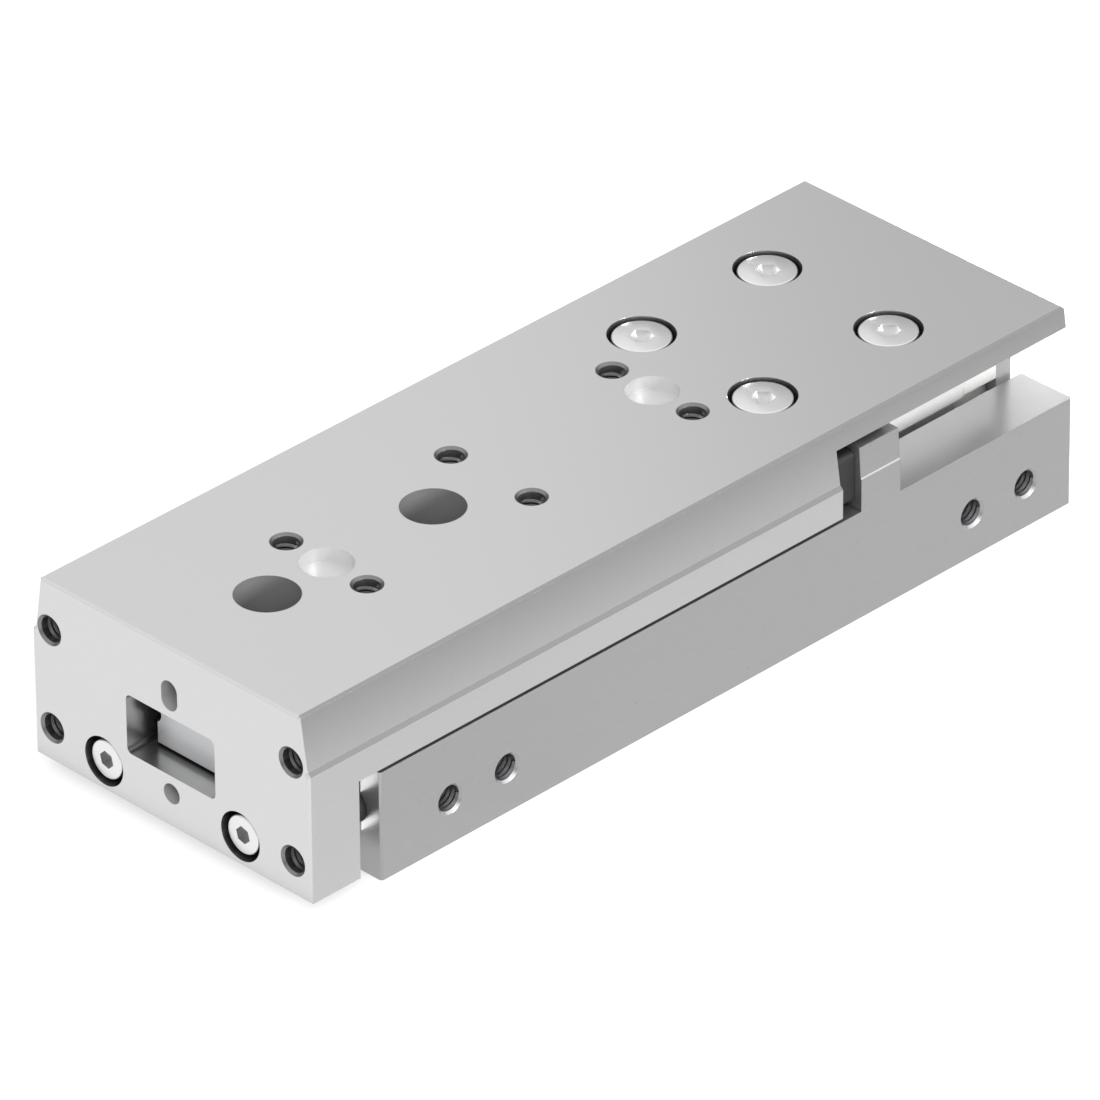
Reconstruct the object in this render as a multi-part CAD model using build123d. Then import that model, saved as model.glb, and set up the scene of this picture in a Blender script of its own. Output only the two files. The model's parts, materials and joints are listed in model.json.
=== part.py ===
from build123d import *
import math
import os

# Pneumatic slide table, fully retracted.
# +X runs from the yoke to the rear, +Y across, +Z up from the housing base.
# The origin is the middle of the base of the overall box. All sizes in mm.

# Travel and width
stroke = 50.0
table_width = 34.4
edge_break = 0.2

# Fits and clearances
sliding_clearance = 0.03
thread_clearance = 0.02
press_allowance = 0.01
bolt_clearance = 0.2
rail_side_clearance = 0.3
stop_clearance = 0.1
thread_run_out = 0.25

# Yoke and table, one machined piece
yoke_thickness = 5.85
yoke_lift = 1.5
top_inset = 1.15
bevel_foot_inset = 0.35
ledge_bottom = 14.3
ledge_rise = 0.35
skirt_gap = 0.35
edge_thickness = 2.05
carriage_plate = 3.0
table_roof_gap = 0.7
pocket_margin = 0.5

# Holes in the table top, distances from the yoke front face
access_diameter = 6.0
access_first = 11.8
access_pitch = 20.0
access_count = 2
centring_diameter = 5.0
centring_depth = 1.3
centring_first = 18.9
centring_pitch = 40.0
thread_row_pitch = 20.0
thread_row_count = 3
thread_row_width = 10.0

# M3 threads
m3_core = 1.25
m3_mouth = 1.5
m3_major = 1.5

# Yoke front face
yoke_hole_spread_y = 30.0
yoke_hole_low = 5.0
yoke_hole_spread_z = 10.0
window_width = 11.0
window_bottom = 6.8
window_height = 6.0
window_corner = 0.6
dowel_diameter = 2.0
dowel_depth = 4.0
slot_length = 3.0

# Housing
yoke_gap = 2.5
wall_top = 11.0
channel_margin = 1.05
channel_floor = 8.3
lug_rear_inset = 22.2
lug_length = 4.95
lug_gap = 2.35
lug_top_gap = 0.55
lug_ledge = 0.12
lug_top_inset = 0.3
base_thread_first = 31.8
base_thread_pitch = 40.0
base_thread_edge = 3.0
base_thread_depth = 4.8
sensor_slot_start = 13.35
sensor_slot_height = 7.7
sensor_slot_radius = 1.45
sensor_slot_depth = 2.9
sensor_mouth = 2.2

# Side ports and side threads, from the yoke front face and from the rear
front_port = 16.7
front_side_thread = 23.55
rear_side_thread = 12.85
rear_port = 5.9
port_depth = 4.5
cross_drill = 0.75

# Rail
rail_front = 2.4
rail_rear_inset = 0.4
rail_width = 9.0
rail_height = 5.5
rail_seat = 7.0
rail_seat_margin = 0.05
rail_break = 0.3
rail_end_break = 0.35
rail_end_land = 5.0
rail_counterbore = 3.0
rail_counterbore_depth = 3.5
rail_hole = 1.75
rail_screw_length = 6.0

# Ball circuit; the balls and the turns are drawn with flats
ball_flats = 1.42
ball_corner = 0.29
groove_radius = 0.83
groove_height = 3.2
return_wall = 0.73
return_radius = 0.87
ball_count = 10
turn_flats = 6

# Carriage; guide height is from the rail's seat to the carriage top
guide_height = 10.0
carriage_width = 20.0
carriage_length = 43.1
carriage_bottom = 9.0
carriage_relief = 1.0
relief_height = 1.75
carriage_roof_gap = 0.4
carriage_rear_inset = 0.1
end_cap_length = 4.6
end_cap_step = 0.25
end_seal_thickness = 1.9
seal_rail_gap = 0.12
carriage_hole_pitch = 16.0
carriage_hole_edge = 2.5
carriage_thread_depth = 3.3
cap_screw_edge = 3.2
cap_screw_drop = 2.2
cap_screw_core = 0.6
cap_screw_head = 1.3
cap_screw_head_height = 0.7
cap_screw_depth = 3.0

# Carriage screws, low heads
low_head_radius = 2.75
low_head_height = 1.7
low_head_counterbore = 3.15
low_head_recess = 0.2
low_head_socket = 2.0
low_head_socket_depth = 1.0

# Rail screws, socket heads
cap_head_radius = 2.75
cap_head_height = 3.0
cap_head_socket = 2.5
cap_head_socket_depth = 1.4

# Rod screws
m2_core = 0.8
m2_major = 1.0
m2_hole = 1.1
m2_head_radius = 1.9
m2_head_height = 2.0
m2_head_recess = 0.3
m2_counterbore = 2.4
m2_socket = 1.5
m2_socket_depth = 1.0
rod_thread_depth = 6.0
rod_screw_length = 8.5

# Cylinders
bore_radius = 3.0
bore_spread = 17.0
bore_height = 4.5
rod_radius = 1.5
spigot_radius = 1.0
piston_clearance = 0.06
piston_front_length = 8.0
piston_rear_length = 5.2
magnet_length = 3.0
magnet_radius = 2.6
piston_rear_offset = 7.2
seal_groove_width = 1.6
seal_groove_depth = 0.9
seal_groove_edge = 1.6
seal_section_margin = 0.05
seal_lip_depth = 0.3
bumper_length = 1.4
bumper_radius = 2.4
nut_flats = 3.6
nut_length = 1.6

# Rod gland and rear plug, held by retaining rings
ring_inset = 0.4
ring_width = 0.6
ring_groove_depth = 0.3
ring_band = 0.8
ring_mouth = 70.0
gland_body_length = 6.0
gland_nose_length = 4.55
gland_nose_radius = 2.2
rod_seal_radius = 2.25
rod_seal_length = 1.8
o_ring_half_width = 0.48
o_ring_groove_width = 1.2
o_ring_groove_radius = 2.0
gland_o_ring_offset = 3.9
plug_length = 3.1
puller_radius = 0.8
puller_depth = 1.2

# Buffers
front_buffer_radius = 1.75
front_buffer_offset = 5.2
front_buffer_height = 6.4
buffer_seat_depth = 3.0
lug_buffer_width = 4.4
lug_buffer_edge = 0.8
lug_buffer_lift = 0.8
lug_buffer_drop = 0.5
lug_buffer_pin = 1.2
lug_buffer_pin_length = 2.0
lug_buffer_corner = 0.5

# The length is what lies along one cylinder, from the yoke's front face to the rear.
gland_stack = yoke_gap + ring_inset + ring_width + gland_body_length + gland_nose_length
piston_stack = bumper_length + piston_front_length + magnet_length + piston_rear_length
overall_length = yoke_thickness + gland_stack + stroke + stop_clearance + piston_stack + piston_rear_offset

# The height is the housing up to the rail's seat, the guide and the plate on the carriage.
carriage_top = rail_seat + guide_height
overall_height = carriage_top + carriage_plate

# Places that follow from the sizes above
front_x = -overall_length / 2
rear_x = overall_length / 2
yoke_back_x = front_x + yoke_thickness
housing_front_x = yoke_back_x + yoke_gap
lug_rear_x = rear_x - lug_rear_inset
lug_front_x = lug_rear_x - lug_length
skirt_end_x = lug_front_x - lug_gap
half_width = table_width / 2
channel_half = carriage_width / 2 + channel_margin
skirt_bottom = wall_top + skirt_gap
edge_underside = overall_height - edge_thickness
lug_top = edge_underside - lug_top_gap
lug_buffer_bottom = wall_top + lug_buffer_lift
lug_buffer_height = lug_top - lug_buffer_drop - lug_buffer_bottom
rail_front_x = front_x + rail_front
rail_rear_x = rear_x - rail_rear_inset
rail_top = rail_seat + rail_height
table_roof = rail_top + table_roof_gap
groove_z = rail_seat + groove_height
groove_y = rail_width / 2
return_y = carriage_width / 2 - carriage_relief - return_wall - return_radius
carriage_rear_x = rear_x - carriage_rear_inset
carriage_front_x = carriage_rear_x - carriage_length
carriage_middle_x = carriage_rear_x - carriage_length / 2
block_front_x = carriage_front_x + end_seal_thickness + end_cap_length
block_rear_x = carriage_rear_x - end_seal_thickness - end_cap_length
carriage_roof = rail_top + carriage_roof_gap
cap_screw_z = carriage_top - cap_screw_drop
pocket_half = carriage_width / 2 + pocket_margin
bore_y = bore_spread / 2
piston_rear_x = rear_x - piston_rear_offset
magnet_rear_x = piston_rear_x - piston_rear_length
magnet_front_x = magnet_rear_x - magnet_length
piston_front_x = magnet_front_x - piston_front_length
bumper_front_x = piston_front_x - bumper_length
gland_front_x = housing_front_x + ring_inset + ring_width
gland_body_end_x = gland_front_x + gland_body_length
gland_nose_end_x = gland_body_end_x + gland_nose_length
plug_rear_x = rear_x - ring_inset - ring_width
plug_front_x = plug_rear_x - plug_length
sides = {"left": -1, "right": 1}


def box_between(x_span, y_span, z_span):
    """Box from the two ends of its span along each axis."""
    spans = (x_span, y_span, z_span)
    middle = [(low + high) / 2 for low, high in spans]
    return Pos(*middle) * Box(*[high - low for low, high in spans])


def across(half):
    """Span of a width centred on the middle plane."""
    return (-half, half)


def bar_x(radius, start, end, y, z):
    """Cylinder along X."""
    return Pos((start + end) / 2, y, z) * Rot(0, 90, 0) * Cylinder(radius, end - start)


def bar_y(radius, start, end, x, z):
    """Cylinder along Y."""
    return Pos(x, (start + end) / 2, z) * Rot(90, 0, 0) * Cylinder(radius, end - start)


def bar_z(radius, bottom, top, x, y):
    """Cylinder along Z."""
    return Pos(x, y, (bottom + top) / 2) * Cylinder(radius, top - bottom)


def turned(profile, y=0, z=0):
    """Turned piece about an X axis, from its (x, radius) corners."""
    return Pos(0, y, z) * revolve(make_face(Polyline(*profile, close=True)), Axis.X)


def turned_upright(profile, x, y):
    """Turned piece about a Z axis, from its (radius, z) corners."""
    face = Plane.XZ * make_face(Polyline(*profile, close=True))
    return Pos(x, y, 0) * revolve(face, Axis.Z)


def symmetric_bar(half_outline, start, end):
    """Bar along X from the +Y half of its section, as (y, z) corners."""
    mirrored = [(-y, z) for y, z in reversed(half_outline)]
    face = make_face(Polyline(*half_outline, *mirrored, close=True))
    return extrude(Plane.YZ.offset(start) * face, end - start)


def thread_mouth_z(x, y, top, depth):
    """Blind or through M3 core hole from a face that looks up, with its chamfered mouth."""
    chamfer_depth = m3_mouth - m3_core
    profile = [
        (0, top - depth),
        (m3_core, top - depth),
        (m3_core, top - chamfer_depth),
        (m3_mouth, top),
        (0, top),
    ]
    return turned_upright(profile, x, y)


def thread_mouth_x(face_x, depth, y, z):
    """M3 core hole into +X from a face that looks to -X."""
    chamfer_depth = m3_mouth - m3_core
    profile = [
        (face_x, 0),
        (face_x, m3_mouth),
        (face_x + chamfer_depth, m3_core),
        (face_x + depth, m3_core),
        (face_x + depth, 0),
    ]
    return turned(profile, y, z)


def thread_mouth_y(x, z, face_y, depth):
    """M3 core hole into +Y from a face that looks to -Y."""
    upright = thread_mouth_z(0, 0, 0, depth)
    return Pos(x, face_y, z) * Rot(90, 0, 0) * upright


def socket_prism(flats, depth):
    """Hexagonal socket down from z = 0."""
    return extrude(RegularPolygon(flats / math.sqrt(3), 6), -depth)


def side_profile(bottom):
    """Right half of the table's outer section: skirt, ledge and bevelled side."""
    return [
        (half_width, bottom),
        (half_width, ledge_bottom),
        (half_width - bevel_foot_inset, ledge_bottom + ledge_rise),
        (half_width - top_inset, overall_height),
    ]


def table_blank():
    """Yoke plate and table before their holes, edges broken."""
    table = symmetric_bar(side_profile(skirt_bottom), front_x, rear_x)
    yoke = symmetric_bar(side_profile(yoke_lift), front_x, yoke_back_x)
    blank = table + yoke
    rim = blank.faces().sort_by(Axis.X)[0].outer_wire().edges()
    top_rim = blank.faces().sort_by(Axis.Z)[-1].outer_wire().edges()
    top_rim = top_rim.filter_by(Axis.X)
    tail = blank.faces().sort_by(Axis.X)[-1].outer_wire().edges().sort_by(Axis.Z)[-1:]
    return chamfer(rim + top_rim + tail, edge_break)


def table_underside():
    """Channel over the rail, carriage pocket and the cut behind the skirts."""
    channel = box_between((yoke_back_x, rear_x), across(pocket_half), (yoke_lift, table_roof))
    pocket_front_x = carriage_front_x - pocket_margin
    pocket = box_between((pocket_front_x, rear_x), across(pocket_half), (yoke_lift, carriage_top))
    behind = box_between((skirt_end_x, rear_x), across(table_width), (yoke_lift, carriage_top))
    cut = channel + pocket + behind
    pad_edge = carriage_width / 2
    for side in sides.values():
        flank = sorted((side * pad_edge, side * table_width))
        cut += box_between((skirt_end_x, rear_x), flank, (yoke_lift, edge_underside))
    return cut


def table_top_holes():
    """Access holes, centring holes, threads and screw counterbores in the top."""
    cuts = []
    for index in range(access_count):
        x = front_x + access_first + index * access_pitch
        cuts.append(bar_z(access_diameter / 2, 0, overall_height, x, 0))
    for index in range(2):
        x = front_x + centring_first + index * centring_pitch
        bottom = overall_height - centring_depth
        cuts.append(bar_z(centring_diameter / 2, bottom, overall_height, x, 0))
    for index in range(thread_row_count):
        x = front_x + centring_first + index * thread_row_pitch
        for side in sides.values():
            y = side * thread_row_width / 2
            cuts.append(thread_mouth_z(x, y, overall_height, overall_height - table_roof))
    for x, y in carriage_screw_places():
        floor = overall_height - low_head_height - low_head_recess
        cuts.append(bar_z(low_head_counterbore, floor, overall_height, x, y))
        cuts.append(bar_z(m3_major + bolt_clearance, carriage_top, overall_height, x, y))
    return cuts


def yoke_holes():
    """Threads, dowel hole, slot, window and rod screw counterbores of the yoke."""
    cuts = []
    for side in sides.values():
        for level in range(2):
            y = side * yoke_hole_spread_y / 2
            z = yoke_hole_low + level * yoke_hole_spread_z
            cuts.append(thread_mouth_x(front_x, yoke_thickness, y, z))
        floor_x = front_x + m2_head_height + m2_head_recess
        y = side * bore_y
        cuts.append(bar_x(m2_counterbore, front_x, floor_x, y, bore_height))
        cuts.append(bar_x(m2_hole, front_x, yoke_back_x, y, bore_height))
    dowel_radius = dowel_diameter / 2
    dowel_end = front_x + dowel_depth
    cuts.append(bar_x(dowel_radius, front_x, dowel_end, 0, yoke_hole_low))
    slot_face = Rot(0, 0, 90) * SlotOverall(slot_length, dowel_diameter)
    slot_z = yoke_hole_low + yoke_hole_spread_z
    slot = extrude(Plane.YZ.offset(front_x) * Pos(0, slot_z) * slot_face, dowel_depth)
    cuts.append(slot)
    window_z = window_bottom + window_height / 2
    window_face = Pos(0, window_z) * RectangleRounded(window_width, window_height, window_corner)
    cuts.append(extrude(Plane.YZ.offset(front_x) * window_face, yoke_thickness))
    return cuts


def carriage_screw_places():
    """The four carriage screws, as (x, y)."""
    places = []
    for step in (-1, 1):
        for side in sides.values():
            x = carriage_middle_x + step * carriage_hole_pitch / 2
            places.append((x, side * (carriage_width / 2 - carriage_hole_edge)))
    return places


def slide_table():
    """Yoke and table in one piece."""
    table = table_blank() - table_underside()
    for cut in table_top_holes() + yoke_holes():
        table -= cut
    return table


def rail_screw_places():
    """Rail screw positions at the access pitch; the first ones line up with the access holes."""
    first_x = front_x + access_first
    count = 1 + int((rail_rear_x - rail_end_land - first_x) / access_pitch)
    return [first_x + index * access_pitch for index in range(count)]


def housing_blank():
    """Side walls, channel, rail seat and the two stop lugs."""
    outer = box_between((housing_front_x, rear_x), across(half_width), (0, wall_top))
    outer = chamfer(outer.edges().filter_by(Axis.Z), edge_break)
    channel = box_between((housing_front_x, rear_x), across(channel_half), (channel_floor, wall_top))
    seat_half = rail_width / 2 + rail_seat_margin
    seat = box_between((housing_front_x, rear_x), across(seat_half), (rail_seat, wall_top))
    lug = stop_lug()
    return outer - channel - seat + lug + mirror(lug, Plane.XZ)


def stop_lug():
    """Stop lug on the +Y wall: upright foot, narrow ledge, and above it a side that leans in."""
    outline = [
        (channel_half, channel_floor),
        (half_width, channel_floor),
        (half_width, ledge_bottom),
        (half_width - lug_ledge, ledge_bottom + lug_ledge),
        (half_width - lug_top_inset, lug_top),
        (channel_half, lug_top),
    ]
    section = Plane.YZ.offset(lug_front_x) * make_face(Polyline(*outline, close=True))
    return extrude(section, lug_length)


def housing_bores():
    """Cylinder bores with ring grooves and buffer seats, for both sides."""
    cuts = []
    for side in sides.values():
        y = side * bore_y
        cuts.append(bar_x(bore_radius, housing_front_x, rear_x, y, bore_height))
        groove = bore_radius + ring_groove_depth
        front_groove = housing_front_x + ring_inset
        cuts.append(bar_x(groove, front_groove, front_groove + ring_width, y, bore_height))
        cuts.append(bar_x(groove, plug_rear_x, plug_rear_x + ring_width, y, bore_height))
        seat_end = housing_front_x + buffer_seat_depth
        cuts.append(bar_x(front_buffer_radius, housing_front_x, seat_end, *front_buffer_place(side)))
        pin_end = lug_front_x + lug_buffer_pin_length
        cuts.append(bar_x(lug_buffer_pin, lug_front_x, pin_end, *lug_buffer_place(side)))
    return cuts


def front_buffer_place(side):
    """Axis of a front buffer, beside the bore, as (y, z)."""
    return side * (bore_y + front_buffer_offset), front_buffer_height


def lug_buffer_place(side):
    """Middle of a lug buffer, as (y, z)."""
    y = side * (half_width - lug_buffer_edge - lug_buffer_width / 2)
    return y, lug_buffer_bottom + lug_buffer_height / 2


def housing_drillings():
    """Side ports with their cross drillings, side threads, base holes and rail threads."""
    cuts = []
    for x in (front_x + front_port, rear_x - rear_port):
        cuts.append(bar_y(cross_drill, -half_width + port_depth, bore_y, x, bore_height))
        cuts.append(thread_mouth_y(x, bore_height, -half_width, port_depth))
    for x in (front_x + front_side_thread, rear_x - rear_side_thread):
        cuts.append(thread_mouth_y(x, bore_height, -half_width, port_depth))
    for index in range(2):
        x = front_x + base_thread_first + index * base_thread_pitch
        cuts.append(bar_z(centring_diameter / 2, 0, centring_depth, x, 0))
        for side in sides.values():
            y = side * (half_width - base_thread_edge)
            cuts.append(bar_z(m3_core, 0, base_thread_depth, x, y))
    rail_web = rail_height - rail_counterbore_depth
    thread_end = rail_seat + rail_web - rail_screw_length - thread_run_out
    for x in rail_screw_places():
        cuts.append(bar_z(m3_core, thread_end, rail_seat, x, 0))
    return cuts


def sensor_slot():
    """Round-bottomed slot for a position sensor, in the +Y side, open at the rear."""
    start = front_x + sensor_slot_start
    centre_y = half_width - sensor_slot_depth + sensor_slot_radius
    slot = bar_x(sensor_slot_radius, start, rear_x, centre_y, sensor_slot_height)
    mouth_low = sensor_slot_height - sensor_mouth / 2
    mouth_high = sensor_slot_height + sensor_mouth / 2
    return slot + box_between((start, rear_x), (centre_y, half_width), (mouth_low, mouth_high))


def housing_block():
    """Housing with both cylinders, the rail's seat and the stop lugs."""
    housing = housing_blank() - sensor_slot()
    for cut in housing_bores() + housing_drillings():
        housing -= cut
    return housing


def ball_groove(side, start, end):
    """Straight bar of the ball track on one side."""
    return bar_x(groove_radius, start, end, side * groove_y, groove_z)


def guide_rail():
    """Rail with a ball groove in each flank and counterbored screw holes."""
    half = rail_width / 2
    section = [(half, rail_seat), (half, rail_top - rail_break), (half - rail_break, rail_top)]
    rail = symmetric_bar(section, rail_front_x, rail_rear_x)
    ends = rail.faces().filter_by(Axis.X)
    rail = chamfer(ends[0].outer_wire().edges() + ends[1].outer_wire().edges(), rail_end_break)
    for side in sides.values():
        rail -= ball_groove(side, rail_front_x, rail_rear_x)
    for x in rail_screw_places():
        rail -= bar_z(rail_counterbore, rail_top - rail_counterbore_depth, rail_top, x, 0)
        rail -= bar_z(rail_hole, rail_seat, rail_top, x, 0)
    return rail


def socket_screw(head, shank, tip, socket):
    """Screw hanging down from z = 0 under its head.

    head is (radius, height), shank and tip are (radius, depth reached), socket is (flats, depth).
    """
    head_radius, head_height = head
    shank_radius, shank_depth = shank
    tip_radius, tip_depth = tip
    profile = [
        (0, -tip_depth),
        (tip_radius, -tip_depth),
        (tip_radius, -shank_depth),
        (shank_radius, -shank_depth),
        (shank_radius, 0),
        (head_radius, 0),
        (head_radius, head_height),
        (0, head_height),
    ]
    screw = turned_upright(profile, 0, 0)
    return screw - Pos(0, 0, head_height) * socket_prism(*socket)


def rail_screws():
    """Socket head screws that hold the rail in its seat."""
    web = rail_height - rail_counterbore_depth
    head = (cap_head_radius, cap_head_height)
    shank = (m3_major, web)
    tip = (m3_core - thread_clearance, rail_screw_length)
    screw = socket_screw(head, shank, tip, (cap_head_socket, cap_head_socket_depth))
    seat_z = rail_top - rail_counterbore_depth
    return Compound(children=[Pos(x, 0, seat_z) * screw for x in rail_screw_places()])


def carriage_screws():
    """Low-head screws that hold the table on the carriage."""
    seat_z = overall_height - low_head_height - low_head_recess
    web = seat_z - carriage_top
    head = (low_head_radius, low_head_height)
    tip_reach = web + carriage_thread_depth - thread_run_out
    tip = (m3_core - thread_clearance, tip_reach)
    screw = socket_screw(head, (m3_major, web), tip, (low_head_socket, low_head_socket_depth))
    return Compound(children=[Pos(x, y, seat_z) * screw for x, y in carriage_screw_places()])


def rod_screws():
    """Screws through the yoke into the piston rods."""
    seat_x = front_x + m2_head_height + m2_head_recess
    web = yoke_back_x - seat_x
    head = (m2_head_radius, m2_head_height)
    tip = (m2_core - thread_clearance, rod_screw_length)
    screw = socket_screw(head, (m2_major, web), tip, (m2_socket, m2_socket_depth))
    level = Rot(0, -90, 0) * screw
    places = [Pos(seat_x, side * bore_y, bore_height) for side in sides.values()]
    return Compound(children=[place * level for place in places])


def carriage_section(step, roof, inner, foot):
    """Right half of a carriage section: slot over the rail, foot, flank and top."""
    outer = carriage_width / 2 - step
    top = carriage_top - step
    shoulder = [(outer, top - edge_break), (outer - edge_break, top)]
    return [(inner, roof), (inner, carriage_bottom), *foot, *shoulder]


def carriage_bar(step, start, end):
    """Runner block or end cap blank with its slot over the rail, set back at the foot."""
    outer = carriage_width / 2 - step
    inset = outer - carriage_relief
    relief_z = carriage_bottom + relief_height
    foot = [(inset, carriage_bottom), (inset, relief_z), (outer, relief_z)]
    outline = carriage_section(step, carriage_roof, groove_y + rail_side_clearance, foot)
    return symmetric_bar(outline, start, end)


def cap_screw_places():
    """End cap screws on one end face, as y."""
    return [side * (carriage_width / 2 - cap_screw_edge) for side in sides.values()]


def carriage_block():
    """Steel runner block with loaded tracks, return bores and its threads."""
    block = carriage_bar(0, block_front_x, block_rear_x)
    for side in sides.values():
        block -= ball_groove(side, block_front_x, block_rear_x)
        block -= bar_x(return_radius, block_front_x, block_rear_x, side * return_y, groove_z)
    for x, y in carriage_screw_places():
        block -= bar_z(m3_core, carriage_top - carriage_thread_depth, carriage_top, x, y)
    for y in cap_screw_places():
        block -= bar_x(cap_screw_core, block_front_x, block_front_x + cap_screw_depth, y, cap_screw_z)
        block -= bar_x(cap_screw_core, block_rear_x - cap_screw_depth, block_rear_x, y, cap_screw_z)
    return block


def ball_turn(side, face_x, heading):
    """Half ring that turns the balls from the loaded track into the return bore."""
    bend = (return_y - groove_y) / 2
    middle = side * (groove_y + return_y) / 2
    section = Plane.XZ * Pos(bend, 0) * RegularPolygon(return_radius, turn_flats)
    turn_sweep = revolve(section, Axis.Z, 180)
    turn = -90 if heading > 0 else 90
    return Pos(face_x, middle, groove_z) * Rot(0, 0, turn) * turn_sweep


def end_cap(block_face_x, heading):
    """Moulded cap that turns the balls; heading is the way it points from the block."""
    outer_x = block_face_x + heading * end_cap_length
    cap = carriage_bar(end_cap_step, *sorted((block_face_x, outer_x)))
    for side in sides.values():
        cap -= ball_turn(side, block_face_x, heading)
    for y in cap_screw_places():
        hole = cap_screw_core + thread_clearance
        cap -= bar_x(hole, *sorted((block_face_x, outer_x)), y, cap_screw_z)
    return cap


def end_seal(cap_face_x, heading):
    """Wiper plate that follows the rail's section, with countersunk screw holes."""
    outer_x = cap_face_x + heading * end_seal_thickness
    span = sorted((cap_face_x, outer_x))
    foot = [(carriage_width / 2 - end_cap_step, carriage_bottom)]
    roof = rail_top + seal_rail_gap
    outline = carriage_section(end_cap_step, roof, groove_y + seal_rail_gap, foot)
    seal = symmetric_bar(outline, *span)
    for y in cap_screw_places():
        seal -= turned(cap_screw_profile(cap_face_x, heading, thread_clearance), y, cap_screw_z)
    return seal


def cap_screw_profile(cap_face_x, heading, margin):
    """Countersunk head and shank inside the end seal, as (x, radius) corners."""
    outer_x = cap_face_x + heading * end_seal_thickness
    neck_x = outer_x - heading * cap_screw_head_height
    shank = cap_screw_core - thread_clearance + margin
    return [
        (cap_face_x, 0),
        (cap_face_x, shank),
        (neck_x, shank),
        (outer_x, cap_screw_head + margin),
        (outer_x, 0),
    ]


def end_cap_screws():
    """Countersunk screws through end seal and end cap into the block."""
    screws = []
    for block_face_x, heading in ((block_front_x, -1), (block_rear_x, 1)):
        cap_face_x = block_face_x + heading * end_cap_length
        tip_x = block_face_x - heading * (cap_screw_depth - thread_run_out)
        for y in cap_screw_places():
            shank = cap_screw_core - thread_clearance
            screw = bar_x(shank, *sorted((tip_x, cap_face_x)), y, cap_screw_z)
            screws.append(screw + turned(cap_screw_profile(cap_face_x, heading, 0), y, cap_screw_z))
    return Compound(children=screws)


def ball_row(side):
    """Balls that carry the load between rail and carriage on one side."""
    pitch = (block_rear_x - block_front_x) / ball_count
    cube = Box(ball_flats, ball_flats, ball_flats)
    ball = chamfer(cube.edges(), ball_corner * ball_flats)
    first_x = block_front_x + pitch / 2
    places = [Pos(first_x + index * pitch, side * groove_y, groove_z) for index in range(ball_count)]
    return Compound(children=[place * ball for place in places])


def piston_rod(side):
    """Rod from the yoke to the piston nut, stepped down to its spigot, tapped in front."""
    nut_end_x = piston_rear_x + nut_length
    profile = [
        (yoke_back_x, 0),
        (yoke_back_x, rod_radius - edge_break),
        (yoke_back_x + edge_break, rod_radius),
        (piston_front_x, rod_radius),
        (piston_front_x, spigot_radius),
        (nut_end_x, spigot_radius),
        (nut_end_x, 0),
    ]
    rod = turned(profile, side * bore_y, bore_height)
    thread_end = yoke_back_x + rod_thread_depth
    return rod - bar_x(m2_core, yoke_back_x, thread_end, side * bore_y, bore_height)


def piston_half(start, end, groove_start, side):
    """Turned piston half with its seal groove."""
    outer = bore_radius - piston_clearance
    inner = spigot_radius + sliding_clearance
    groove_end = groove_start + seal_groove_width
    profile = [
        (start, inner),
        (start, outer),
        (groove_start, outer),
        (groove_start, outer - seal_groove_depth),
        (groove_end, outer - seal_groove_depth),
        (groove_end, outer),
        (end, outer),
        (end, inner),
    ]
    return turned(profile, side * bore_y, bore_height)


def front_groove_x():
    """Start of the seal groove in the front piston half."""
    return piston_front_x + seal_groove_edge


def rear_groove_x():
    """Start of the seal groove in the rear piston half."""
    return piston_rear_x - seal_groove_edge - seal_groove_width


def ring_about_x(inner, outer, start, end, side):
    """Plain ring on a cylinder axis."""
    profile = [(start, inner), (start, outer), (end, outer), (end, inner)]
    return turned(profile, side * bore_y, bore_height)


def piston_seals(side):
    """Lip seals of one piston, one in each half."""
    floor = bore_radius - piston_clearance - seal_groove_depth + seal_section_margin
    lip = bore_radius - sliding_clearance
    seals = []
    for groove in (front_groove_x(), rear_groove_x()):
        start = groove + seal_section_margin
        end = groove + seal_groove_width - seal_section_margin
        middle = (start + end) / 2
        hollow = lip - seal_lip_depth
        profile = [(start, floor), (start, lip), (middle, hollow), (end, lip), (end, floor)]
        seals.append(turned(profile, side * bore_y, bore_height))
    return Compound(children=seals)


def piston_nut(side):
    """Hexagon nut that clamps the piston on the rod's spigot."""
    nut_face = RegularPolygon(nut_flats / math.sqrt(3), 6)
    nut_face -= Circle(spigot_radius + thread_clearance)
    nut = extrude(Plane.YZ.offset(piston_rear_x) * nut_face, nut_length)
    return Pos(0, side * bore_y, bore_height) * nut


def rod_gland(side):
    """Rod bearing that closes the bore in front; its nose is the stop for the piston."""
    outer = bore_radius - thread_clearance
    inner = rod_radius + sliding_clearance
    groove_start = gland_front_x + gland_o_ring_offset
    groove_end = groove_start + o_ring_groove_width
    pocket_end = gland_front_x + rod_seal_length
    profile = [
        (gland_front_x, rod_seal_radius),
        (gland_front_x, outer),
        (groove_start, outer),
        (groove_start, o_ring_groove_radius),
        (groove_end, o_ring_groove_radius),
        (groove_end, outer),
        (gland_body_end_x, outer),
        (gland_body_end_x, gland_nose_radius),
        (gland_nose_end_x, gland_nose_radius),
        (gland_nose_end_x, inner),
        (pocket_end, inner),
        (pocket_end, rod_seal_radius),
    ]
    return turned(profile, side * bore_y, bore_height)


def rod_seal(side):
    """Lip seal and wiper in the gland's pocket."""
    outer = rod_seal_radius - thread_clearance
    lip = rod_radius + sliding_clearance
    end = gland_front_x + rod_seal_length
    profile = [
        (gland_front_x, lip + edge_break),
        (gland_front_x, outer),
        (end, outer),
        (end, lip),
        (gland_front_x + edge_break, lip),
    ]
    return turned(profile, side * bore_y, bore_height)


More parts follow.
